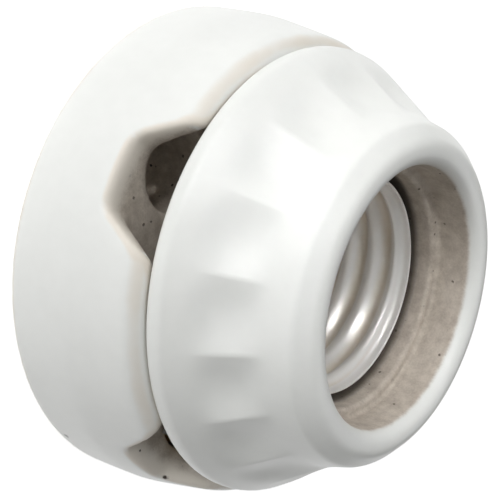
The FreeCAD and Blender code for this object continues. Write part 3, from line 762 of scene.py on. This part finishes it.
@dataclass
class PorcelainBase:
    """The notched base: its CAD form, remade with the soft edges that glaze and firing leave.

    Sizes are in millimetres. Each span says where an effect starts and where it is full. The wall's
    inner face is at radius 24.2, the notches' floor at height 12 and the rim at height 18.
    """

    voxel: float = 0.42
    weld: float = 0.001
    even_rounds: int = 6
    soft_rounds: int = 3
    bend_rounds: int = 3
    pull: float = 0.6
    flat_foot: float = 0.02
    soft_radii: Span = (24.2, 25.4)
    soft_heights: Span = (7.5, 10.5)
    shrinkage: float = 0.55
    shrink_radii: Span = (25.7, 28.7)
    shrink_from: float = 3.0
    shrink_over: float = 14.5
    bends: Span = (0.15, 0.6)
    upper_heights: Span = (2.0, 5.0)
    notch_facings: Span = (0.45, 0.85)
    notch_heights: Span = (16.2, 17.4)
    notch_radii: Span = (24.8, 26.0)
    notch_mark: float = 0.95
    band_heights: Span = (15.9, 17.4)
    band_radii: Span = (27.0, 28.0)
    band_mark: float = 0.62
    foot_heights: Span = (0.5, 1.5)
    foot_radii: Span = (28.0, 29.0)
    foot_mark: float = 0.5
    outer_radii: Span = (25.8, 29.0)
    rim_radii: Span = (24.5, 25.8)
    rim_heights: Span = (16.3, 17.3)
    front_heights: Span = (0.1, 0.45)
    finish: Porcelain = Porcelain(
        "Base porcelain",
        thinness=0.8,
        spots=(
            (0.01642, -0.02569, 0.00219, 0.00042),
            (0.02203, -0.01947, 0.01235, 0.00040),
            (0.01644, -0.02308, 0.01198, 0.00022),
            (-0.01450, -0.01062, 0.00536, 0.00020),
            (-0.01210, -0.00961, 0.00764, 0.00018),
        ),
    )

    def build(self) -> bpy.types.Object:
        """Make the base and take the CAD node's place with it.

        Returns:
            The base's object.
        """
        points, faces = self.voxel_copy()
        sides = np.stack([faces, np.roll(faces, -1, axis=1)], axis=2).reshape(-1, 2)
        edges = np.unique(np.sort(sides, axis=1), axis=0)
        points = self.relax(points, edges, np.full(len(points), self.pull), self.even_rounds)
        points = self.relax(points, edges, self.softness(points), self.soft_rounds)
        points = self.draw_in(points)
        mesh = mesh_from("base_body", points, faces)
        edge_marks = self.edge_marks(mesh, points, edges)
        write_masks(mesh, {Mask.EDGE: edge_marks, Mask.GLAZE: self.cover(points)})
        piece = show(mesh, Body.HOLDER, self.finish.material())
        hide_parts("porcelain_base")
        return piece

    def voxel_copy(self) -> tuple[np.ndarray, np.ndarray]:
        """Even quads over the CAD node's surface.

        Returns:
            Points in millimetres, and faces of four points each.
        """
        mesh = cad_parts["porcelain_base"].data.copy()
        mesh.materials.clear()
        copy = add_object("base_form", mesh)
        weld = copy.modifiers.new("Weld", "WELD")
        weld.merge_threshold = self.weld * MM
        remesh = copy.modifiers.new("Even", "REMESH")
        remesh.mode = "VOXEL"
        remesh.voxel_size = self.voxel * MM
        remesh.adaptivity = 0.0
        evaluated = copy.evaluated_get(bpy.context.evaluated_depsgraph_get())
        made = bpy.data.meshes.new_from_object(evaluated)
        bpy.data.objects.remove(copy)
        bpy.data.meshes.remove(mesh)
        points = np.empty(len(made.vertices) * 3, dtype=np.float32)
        made.vertices.foreach_get("co", points)
        faces = np.empty(len(made.loops), dtype=np.int32)
        made.loops.foreach_get("vertex_index", faces)
        bpy.data.meshes.remove(made)
        return points.reshape(-1, 3).astype(float) / MM, faces.reshape(-1, 4)

    @staticmethod
    def neighbour_mean(values: np.ndarray, edges: np.ndarray) -> np.ndarray:
        """Mean of each point's neighbours.

        Args:
            values: one value or several at each point.
            edges: pairs of joined points.

        Returns:
            The means, in the shape of values.
        """
        table = values.reshape(len(values), -1)
        near, far = np.concatenate([edges, edges[:, ::-1]]).T
        count = np.bincount(near, minlength=len(table))
        sums = [np.bincount(near, column[far], minlength=len(table)) for column in table.T]
        return (np.stack(sums, axis=1) / count[:, None]).reshape(values.shape)

    def relax(
        self, points: np.ndarray, edges: np.ndarray, pull: np.ndarray, rounds: int
    ) -> np.ndarray:
        """Round a form off, as glaze does.

        Formula: in each round a point moves by its pull times the way to its neighbours' mean. The
        flat foot keeps its height, and nothing grows past the form's own box.

        Args:
            points: the form's points, in millimetres.
            edges: pairs of joined points.
            pull: how far each point follows its neighbours, from 0 to 1.
            rounds: number of rounds.

        Returns:
            The moved points.
        """
        low, high = points.min(0), points.max(0)
        flat = points[:, 2] < low[2] + self.flat_foot
        for _ in range(rounds):
            points = points + pull[:, None] * (self.neighbour_mean(points, edges) - points)
        points[flat, 2] = low[2]
        return np.clip(points, low, high)

    def softness(self, points: np.ndarray) -> np.ndarray:
        """Pull for the second smoothing: full on rim and notches, none on the foot or inside."""
        outside = smooth_step(*self.soft_radii, np.hypot(points[:, 0], points[:, 1]))
        return self.pull * outside * smooth_step(*self.soft_heights, points[:, 2])

    def draw_in(self, points: np.ndarray) -> np.ndarray:
        """Draw the outside in towards the rim, as the wet clay shrinks.

        Formula: the radius loses the shrinkage at the rim and nothing at the foot, by the square of
        the height's share, eased in across the wall from its inner face.

        Args:
            points: the form's points, in millimetres.

        Returns:
            The moved points.
        """
        radius = np.hypot(points[:, 0], points[:, 1])
        outside = smooth_step(*self.shrink_radii, radius)
        share = np.clip((points[:, 2] - self.shrink_from) / self.shrink_over, 0, 1)
        scale = 1 - self.shrinkage * share**2 * outside / radius.clip(1.0)
        return points * np.stack([scale, scale, np.ones_like(scale)], axis=1)

    def edge_marks(
        self, mesh: bpy.types.Mesh, points: np.ndarray, edges: np.ndarray
    ) -> np.ndarray:
        """Where the glaze may run thin: convex edges, the notches' mouths, the rim and the foot.

        Formula: an edge's bend is the way from the neighbours' mean out to the point, along its
        normal, times 4 over the squared spacing, averaged over its surroundings and eased. A
        notch's mouth doesn't face outwards. The rim and the foot are bands of height and radius.

        Args:
            mesh: the finished mesh, for its normals.
            points: its points, in millimetres.
            edges: pairs of joined points.

        Returns:
            A value from 0 to 1 for each point.
        """
        normals = np.empty(len(points) * 3, dtype=np.float32)
        mesh.vertices.foreach_get("normal", normals)
        normals = normals.reshape(-1, 3)
        away = points - self.neighbour_mean(points, edges)
        bend = (away * normals).sum(1) / self.voxel**2 * 4
        for _ in range(self.bend_rounds):
            bend = 0.5 * (bend + self.neighbour_mean(bend, edges))
        radius, height = np.hypot(points[:, 0], points[:, 1]), points[:, 2]
        facing = (normals[:, :2] * points[:, :2]).sum(1) / radius
        sideways = 1 - smooth_step(*self.notch_facings, facing)
        below_rim = 1 - smooth_step(*self.notch_heights, height)
        notch = sideways * below_rim * smooth_step(*self.notch_radii, radius) * self.notch_mark
        band = smooth_step(*self.band_heights, height) * smooth_step(*self.band_radii, radius)
        low = (1 - smooth_step(*self.foot_heights, height)) * smooth_step(*self.foot_radii, radius)
        marks = np.maximum.reduce([smooth_step(*self.bends, bend), notch, band * self.band_mark])
        return np.maximum(marks * smooth_step(*self.upper_heights, height), low * self.foot_mark)

    def cover(self, points: np.ndarray) -> np.ndarray:
        """Glaze on the outside, the rim and the notches' mouths, and none inside or on the back.

        Args:
            points: the form's points, in millimetres.

        Returns:
            A value for each point, 1 where there is glaze.
        """
        radius, height = np.hypot(points[:, 0], points[:, 1]), points[:, 2]
        outer = smooth_step(*self.outer_radii, radius)
        rim = smooth_step(*self.rim_heights, height) * smooth_step(*self.rim_radii, radius)
        return np.maximum(outer, rim) * smooth_step(*self.front_heights, height)


@dataclass
class PorcelainRing:
    """The screw ring: a turned section with seventeen shallow flutes round its cone.

    Sizes are in millimetres and degrees, and heights run from the ring's rear. Each span says where
    an effect starts and where it is full.
    """

    rear: float = 18.3
    height: float = 16.7
    spacing: float = 0.42
    flutes: int = 17
    flute_columns: int = 24
    turn: float = 3.7
    depth: float = 0.78
    crest_softness: float = 0.30
    rim_r: float = 27.7
    cone_r: float = 27.1
    cone_start: float = 3.2
    cone_angle: float = 33.0
    cone_length: float = 10.1
    middle: float = 6.1
    flat: float = 0.6
    fade: float = 4.6
    fluted_r: float = 20.0
    fluted_height: float = 0.7
    facing_least: float = 0.5
    mouth_r: float = 15.9
    mouth_depth: float = 5.7
    throat_r: float = 14.6
    throat_depth: float = 10.5
    neck_r: float = 13.85
    bare_mouth_r: float = 16.8
    bare_mouth_height: float = 5.5
    mouth_glaze: Span = (14.8, 16.1)
    hollow_r: float = 24.9
    hollow_skin: float = 1.2
    hollow_top: float = 8.2
    # Place and spread of a painted highlight on the ledge's rounded edge.
    ledge_highlight: Point = (14.9, 10.8)
    ledge_highlight_spread: float = 0.5
    rear_rub: Point = (27.4, 0.3)
    rear_spread: float = 0.6
    rear_share: float = 0.5
    # Where the painted shade lies: the gap round the shell, below the ledge.
    painted_shade_r: float = 15.0
    painted_shade_bottom: float = 1.0
    painted_shade_heights: Span = (9.3, 8.1)
    # One porcelain, but the ring's glaze and mottle tone are painted darker than the base's:
    # painted shade on the ring.
    finish: Porcelain = Porcelain(
        "Ring porcelain", glaze=(0.83, 0.84, 0.815), shade=(0.775, 0.785, 0.76), thinness=0.35
    )

    @property
    def columns(self) -> int:
        """Columns of points round the ring, as many on each flute."""
        return self.flutes * self.flute_columns

    @property
    def ledge(self) -> float:
        """Height of the ledge at the mouth's bottom."""
        return self.height - self.mouth_depth

    def corners(self) -> np.ndarray:
        """The section's corners, anticlockwise from the rear.

        Returns:
            Rows of radius, height and fillet radius.
        """
        slope = np.radians(self.cone_angle)
        end_r = self.cone_r - self.cone_length * np.sin(slope)
        end_height = self.cone_start + self.cone_length * np.cos(slope)
        neck_top = self.height - self.throat_depth
        return np.array(
            [
                (24.6, 0.0, 0.3),  # rear face, inside
                (self.rim_r, 0.0, 0.9),  # rear face, outside
                (self.rim_r, 2.0, 1.9),  # rim
                (end_r, end_height, 6.0),  # end of the cone
                (20.7, self.height - 1.9, 1.7),  # side of the nose
                (18.7, self.height, 1.9),  # front face, outside
                (self.mouth_r, self.height, 1.6),  # front face, inside
                (self.mouth_r, self.ledge, 0.5),  # ledge, outside
                (self.throat_r, self.ledge, 0.6),  # ledge, inside
                (self.throat_r, neck_top, 0.25),  # bottom of the throat
                (self.neck_r, neck_top, 0.25),  # top of the threaded neck
                (self.neck_r, 1.2, 0.3),  # rear of the neck, inside
                (16.6, 1.2, 0.3),  # rear of the neck, outside
                (16.6, 7.9, 0.5),  # hollow's top, inside
                (20.4, 7.9, 0.5),  # hollow's top, outside
                (24.4, 1.7, 0.4),  # hollow's slanted side
            ]
        )

    def dents(self, angle: np.ndarray, outline: np.ndarray) -> np.ndarray:
        """Depth of the flutes.

        Formula: across a flute, 1 less the squared share of the way to its crest, with the crest
        eased; along the cone, a half plus half the cosine of the way past the flute's flat part.

        Args:
            angle: azimuth of each column, in radians.
            outline: the section's points.

        Returns:
            Depths in millimetres, a row for each column.
        """
        slope = np.radians(self.cone_angle)
        along_cone, off_cone = np.array(
            [(-np.sin(slope), np.cos(slope)), (np.cos(slope), np.sin(slope))]
        )
        along = (outline - (self.cone_r, self.cone_start)) @ along_cone - self.middle
        fade = np.clip((np.abs(along) - self.flat) / self.fade, 0, 1)
        lengthwise = 0.5 + 0.5 * np.cos(np.pi * fade)
        outside = (outline > (self.fluted_r, self.fluted_height)).all(1)
        facing = outline_normals(outline) @ off_cone > self.facing_least
        turns = (angle - np.radians(self.turn)) * self.flutes / TAU
        share = np.abs(turns - np.round(turns)) * 2
        eased_from = 1 - 2 * self.crest_softness
        past = smooth_step(eased_from, 1.0, share) * (share - eased_from)
        rounded = share - self.crest_softness * past / 2
        across = 1 - (rounded / rounded.max()) ** 2
        return self.depth * across[:, None] * (lengthwise * outside * facing)[None, :]

    def build(self) -> bpy.types.Object:
        """Make the ring and take the CAD node's place with it.

        Returns:
            The ring's object.
        """
        outline = rounded_outline(self.corners(), self.spacing)
        angle = np.arange(self.columns) * TAU / self.columns
        dents = self.dents(angle, outline)[:, :, None]
        section = outline[None] - dents * outline_normals(outline)[None]
        grid = turned_grid(angle, section[:, :, 0], section[:, :, 1] + self.rear)
        mesh = ring_mesh("ring_body", grid, self.masks(outline))
        piece = show(mesh, Body.RING, self.finish.material())
        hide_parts("porcelain_ring")
        return piece

    @staticmethod
    def wear_and_highlight(outline: np.ndarray, place: Point, spread: float) -> np.ndarray:
        """A mark round a place on the section: e to the minus squared distance over the spread."""
        return np.exp(-((outline - place) ** 2).sum(1) / spread)

    def masks(self, outline: np.ndarray) -> dict[Mask, np.ndarray]:
        """Where the section has glaze, a painted highlight, a worn edge and painted shade.

        Formula: glaze covers the outside and the mouth's round, and leaves the mouth's wall and the
        hollow bare. The ledge's edge carries a painted highlight, and the rear edge weaker wear.
        Painted shade lies in the gap round the shell, below the ledge.

        Args:
            outline: the section's points.

        Returns:
            Each mask's values, a row for each column.
        """
        radius, height = outline.T
        in_mouth = (radius < self.bare_mouth_r) & (height > self.bare_mouth_height)
        glaze = np.where(in_mouth, smooth_step(*self.mouth_glaze, height), 1.0)
        skin = self.cone_r - (height - self.cone_start) * np.tan(np.radians(self.cone_angle))
        inner = np.minimum(self.hollow_r, skin - self.hollow_skin)
        glaze = np.where((radius < inner) & (height < self.hollow_top), 0.0, glaze)
        # Painted highlight on the ledge's edge; wear on the rear edge.
        ledge = self.wear_and_highlight(outline, self.ledge_highlight, self.ledge_highlight_spread)
        rear = self.wear_and_highlight(outline, self.rear_rub, self.rear_spread) * self.rear_share
        # Painted shade in the gap round the shell, below the ledge.
        in_gap = (radius < self.painted_shade_r) & (height > self.painted_shade_bottom)
        painted_shade = smooth_step(*self.painted_shade_heights, height) * in_gap
        rows = {Mask.GLAZE: glaze, Mask.EDGE: np.maximum(ledge, rear), Mask.PAINTED_SHADE: painted_shade}
        return {mask: np.tile(row, (self.columns, 1)) for mask, row in rows.items()}


@dataclass
class ScrewShell:
    """The rolled screw shell: thin sheet with a round thread, a flat lip, a foot and a flange.

    Sizes are in millimetres and degrees, and radii are those of the sheet's inner face.
    """

    foot: float = 8.0
    foot_height: float = 3.3
    foot_step: float = 0.2
    top: float = 26.8
    groove_r: float = 13.25
    crest_r: float = 12.2
    foot_r: float = 13.05
    flange_hole_r: float = 6.8
    sheet: float = 0.3
    pitch: float = 3.629
    lip: float = 0.75
    plain: float = 3.6
    rise: float = 1.5
    fall: float = 1.1
    bend: float = 0.6
    step_bend: float = 0.3
    edge_round: float = 0.49
    start: float = 168.0
    # Where the painted shade in the thread's grooves starts, as a share of the thread's depth, and
    # how far below the lip it ends.
    painted_shade_depth: float = 0.55
    painted_shade_end: float = 0.4
    columns: int = 240
    step: float = 0.2
    finish: SheetMetal = SheetMetal(
        "Nickel plate",
        bright=(0.96, 0.955, 0.94),
        film=(0.90, 0.875, 0.84),
        hollow=(0.74, 0.66, 0.55),
        gloss=0.30,
        cloudiness=0.6,
        metallic=0.3,
    )

    def corners(self) -> np.ndarray:
        """The plain sleeve's section, anticlockwise, at the groove's radius.

        Returns:
            Rows of radius, height and fillet radius.
        """
        edge, step = self.sheet * self.edge_round, self.step_bend
        foot_top = self.foot + self.foot_height
        groove_bottom = foot_top + self.foot_step
        return np.array(
            [
                (self.flange_hole_r, self.foot, edge),
                (self.foot_r + self.sheet, self.foot, self.bend + self.sheet),
                (self.foot_r + self.sheet, foot_top, step),
                (self.groove_r + self.sheet, groove_bottom, step),
                (self.groove_r + self.sheet, self.top, edge),
                (self.groove_r, self.top, edge),
                (self.groove_r, groove_bottom, step),
                (self.foot_r, foot_top, step),
                (self.foot_r, self.foot + self.sheet, self.bend),
                (self.flange_hole_r, self.foot + self.sheet, edge),
            ]
        )

    def wave(self, angle: np.ndarray, height: np.ndarray) -> np.ndarray:
        """How far the thread stands in from the groove's radius.

        Formula: half of 1 plus the cosine of the height's share of a pitch less the angle's share
        of a turn, eased in above the foot and out below the lip, times the thread's depth.

        Args:
            angle: azimuth of each column, in radians.
            height: height of each point of the section.

        Returns:
            Distances in millimetres, a row for each column.
        """
        turned = (angle[:, None] - np.radians(self.start)) / TAU
        phase = (height[None, :] - self.foot) / self.pitch - turned
        first, last = self.foot + self.plain, self.top - self.lip
        eased_in = smooth_step(first, first + self.rise, height)
        eased_out = 1 - smooth_step(last - self.fall, last, height)
        ridge = 0.5 + 0.5 * np.cos(TAU * phase)
        return (self.groove_r - self.crest_r) * ridge * (eased_in * eased_out)[None, :]

    def build(self) -> bpy.types.Object:
        """Make the shell and take the CAD node's place with it.

        Returns:
            The shell's object.
        """
        outline = rounded_outline(self.corners(), self.step, arc_points=5)
        angle = np.arange(self.columns) * TAU / self.columns
        radius, height = outline.T
        wave = self.wave(angle, height)
        grid = turned_grid(angle, radius[None] - wave, np.broadcast_to(height, wave.shape))
        # Painted shade in the thread's grooves, between the plain foot and the lip.
        first, last = self.foot + self.plain, self.top - self.lip - self.painted_shade_end
        threaded = (height > first) & (height < last)
        painted_shade_depth = (self.groove_r - self.crest_r) * self.painted_shade_depth
        groove = np.clip(1 - wave / painted_shade_depth, 0, 1) * threaded[None, :]
        mesh = ring_mesh("thread_shell", grid, {Mask.PAINTED_SHADE: groove})
        piece = show(mesh, Body.HOLDER, self.finish.material())
        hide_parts("screw_shell")
        return piece


@dataclass
class Metalwork:
    """The strips, terminals, screws and plugs, which keep their CAD forms."""

    bronze: SheetMetal = SheetMetal(
        "Contact bronze",
        bright=(0.72, 0.50, 0.30),
        film=(0.55, 0.38, 0.22),
        hollow=(0.3, 0.2, 0.1),
        gloss=0.3,
    )
    brass: SheetMetal = SheetMetal(
        "Brass",
        bright=(0.80, 0.62, 0.33),
        film=(0.62, 0.47, 0.25),
        hollow=(0.35, 0.25, 0.12),
        gloss=0.28,
    )
    zinc: SheetMetal = SheetMetal(
        "Zinc-plated steel",
        bright=(0.70, 0.71, 0.72),
        film=(0.56, 0.56, 0.54),
        hollow=(0.3, 0.3, 0.3),
        gloss=0.33,
    )
    compound: Compound = Compound()

    def dress(self) -> None:
        """Give every small CAD node its finish."""
        clamps = ("shell_clamp", "shell_clamp_screw", "contact_clamp", "contact_clamp_screw")
        finishes = {
            self.bronze: ("centre_contact", "shell_strip"),
            self.brass: ("shell_terminal", "contact_terminal", "shell_nuts"),
            self.zinc: (*clamps, "shell_screws", "spring_washers", "pillar_screws"),
            self.compound: ("seal_plugs",),
        }
        for finish, nodes in finishes.items():
            material = finish.material()
            for node in nodes:
                dress(node, material)


# Studio


@dataclass(frozen=True)
class Lamp:
    """A lamp, in metres and watts: a soft square, or a round spot if it has a beam in degrees."""

    name: str
    place: Place
    side: float
    power: float
    aim: Place = (0.0, 0.0, 0.017)
    beam: float = 0.0


@dataclass
class Studio:
    """A white table, soft lamps, a sky that is lighter on one side, and the camera."""

    floor_half: float = 2.5
    floor_white: float = 0.86
    floor_glow: float = 0.20
    floor_lift: float = 0.73
    bright_sky: float = 0.42
    dim_sky: float = 0.05
    toward: Place = (-0.93, -0.33, 0.16)
    sky_span: Span = (-0.8, 0.8)
    lamps: tuple[Lamp, ...] = (
        Lamp("Key lamp", (-0.78, -0.40, 0.09), 0.7, 7.3),
        Lamp("Front lamp", (0.00, -0.85, 0.05), 0.6, 0.45),
        Lamp("Top lamp", (0.40, 0.48, 0.72), 0.5, 1.2),
        Lamp("Bore lamp", (-0.24, -0.09, 0.29), 0.030, 13.5, (0.0100, 0.0090, 0.0185), beam=4.0),
    )
    eye: Place = (-0.0690999, -0.1248061, 0.1127599)
    right: Place = (0.0400964, 0.6166891, 0.7861850)
    up: Place = (-0.9200842, 0.3296283, -0.2116373)
    back: Place = (-0.3896632, -0.7148705, 0.5806228)
    lens: float = 99.60
    sensor: float = 36.0
    nearest: float = 0.005
    farthest: float = 20.0

    def build(self) -> None:
        """Set up everything that isn't the object."""
        self.make_floor()
        self.make_sky()
        for lamp in self.lamps:
            self.make_lamp(lamp)
        self.make_camera()
        bpy.context.scene.view_settings.view_transform = "Standard"

    def make_floor(self) -> None:
        """A white table that keeps its shadows. It is clear from below, where the back can be seen.

        Formula: a matt white, plus a glow that is full for the rays that show the table, and weaker
        for those that only light the object.
        """
        h = self.floor_half
        points = np.array([(-h, -h, 0), (h, -h, 0), (h, h, 0), (-h, h, 0)]) / MM
        mesh = mesh_from("table", points, np.arange(4)[None, :])
        floor = add_object("table", mesh)
        material, graph = new_material("Table white")
        path = graph.add("LightPath").outputs
        seen = graph.maths("MAXIMUM", path["Is Camera Ray"], path["Is Glossy Ray"])
        seen = graph.maths("MAXIMUM", seen, path["Is Transmission Ray"])
        matt = graph.add("BsdfDiffuse", {"Color": rgba((self.floor_white,) * 3)})
        glow = graph.maths("MULTIPLY_ADD", seen, self.floor_lift - self.floor_glow, self.floor_glow)
        lift = graph.add("Emission", {"Color": rgba((1, 1, 1)), "Strength": glow})
        top = graph.add("AddShader", {0: matt.outputs[0], 1: lift.outputs[0]})
        clear = graph.add("BsdfTransparent")
        under = graph.add("NewGeometry").outputs["Backfacing"]
        sides = graph.add("MixShader", {0: under, 1: top.outputs[0], 2: clear.outputs[0]})
        graph.add("OutputMaterial", {"Surface": sides.outputs[0]})
        mesh.materials.append(material)

    def make_sky(self) -> None:
        """A sky that is lighter on the key lamp's side, and white where the camera looks at it.

        Formula: its strength rises from dim to bright with the cosine of the angle to its light
        side, and is 1 for the camera's rays and those through glass.
        """
        world = bpy.data.worlds.new("Studio")
        world.use_nodes = True
        world.node_tree.nodes.clear()
        graph = Graph(world.node_tree)
        path = graph.add("LightPath").outputs
        seen = graph.maths("MAXIMUM", path["Is Camera Ray"], path["Is Transmission Ray"])
        ways = {0: graph.add("TexCoord").outputs["Generated"], 1: self.toward}
        side = graph.add("VectorMath", ways, operation="DOT_PRODUCT").outputs["Value"]
        lit = graph.ramp(side, self.sky_span, (self.dim_sky, self.bright_sky))
        strength = graph.between(seen, lit, 1.0)
        sky = graph.add("Background", {"Color": rgba((1, 1, 1)), "Strength": strength})
        graph.add("OutputWorld", {"Surface": sky.outputs[0]})
        bpy.context.scene.world = world

    def make_lamp(self, lamp: Lamp) -> None:
        """Hang one lamp, turned to its aim.

        Args:
            lamp: the lamp's sizes, power and place.
        """
        light = bpy.data.lights.new(lamp.name, "SPOT" if lamp.beam else "AREA")
        light.energy = lamp.power
        if lamp.beam:
            light.shadow_soft_size = lamp.side
            light.spot_size = np.radians(lamp.beam)
            light.spot_blend = 1.0
        else:
            light.shape = "SQUARE"
            light.size = lamp.side
        away = np.array(lamp.place) - np.array(lamp.aim)
        back = away / np.linalg.norm(away)
        side = np.cross((0.0, 0.0, 1.0), back)
        side /= np.linalg.norm(side)
        hung = add_object(lamp.name, light)
        hung.matrix_world = self.pose(side, np.cross(back, side), back, lamp.place)

    @staticmethod
    def pose(right: Place, up: Place, back: Place, place: Place) -> Matrix:
        """A matrix from three axes and a place."""
        rows = np.column_stack([right, up, back, place])
        return Matrix([*rows.tolist(), (0.0, 0.0, 0.0, 1.0)])

    def make_camera(self) -> None:
        """The camera, turned so that the holder lies on its side in its view."""
        data = bpy.data.cameras.new("Camera")
        data.lens = self.lens
        data.sensor_width = self.sensor
        data.clip_start = self.nearest
        data.clip_end = self.farthest
        camera = add_object("Camera", data)
        camera.matrix_world = self.pose(self.right, self.up, self.back, self.eye)
        bpy.context.scene.camera = camera


def main() -> None:
    """Build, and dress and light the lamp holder."""
    logging.basicConfig(level=logging.INFO, format="%(name)s: %(message)s")
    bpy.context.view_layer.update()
    PorcelainBase().build()
    PorcelainRing().build()
    ScrewShell().build()
    Metalwork().dress()
    Studio().build()
    bpy.context.view_layer.update()


if __name__ == "__main__":
    main()
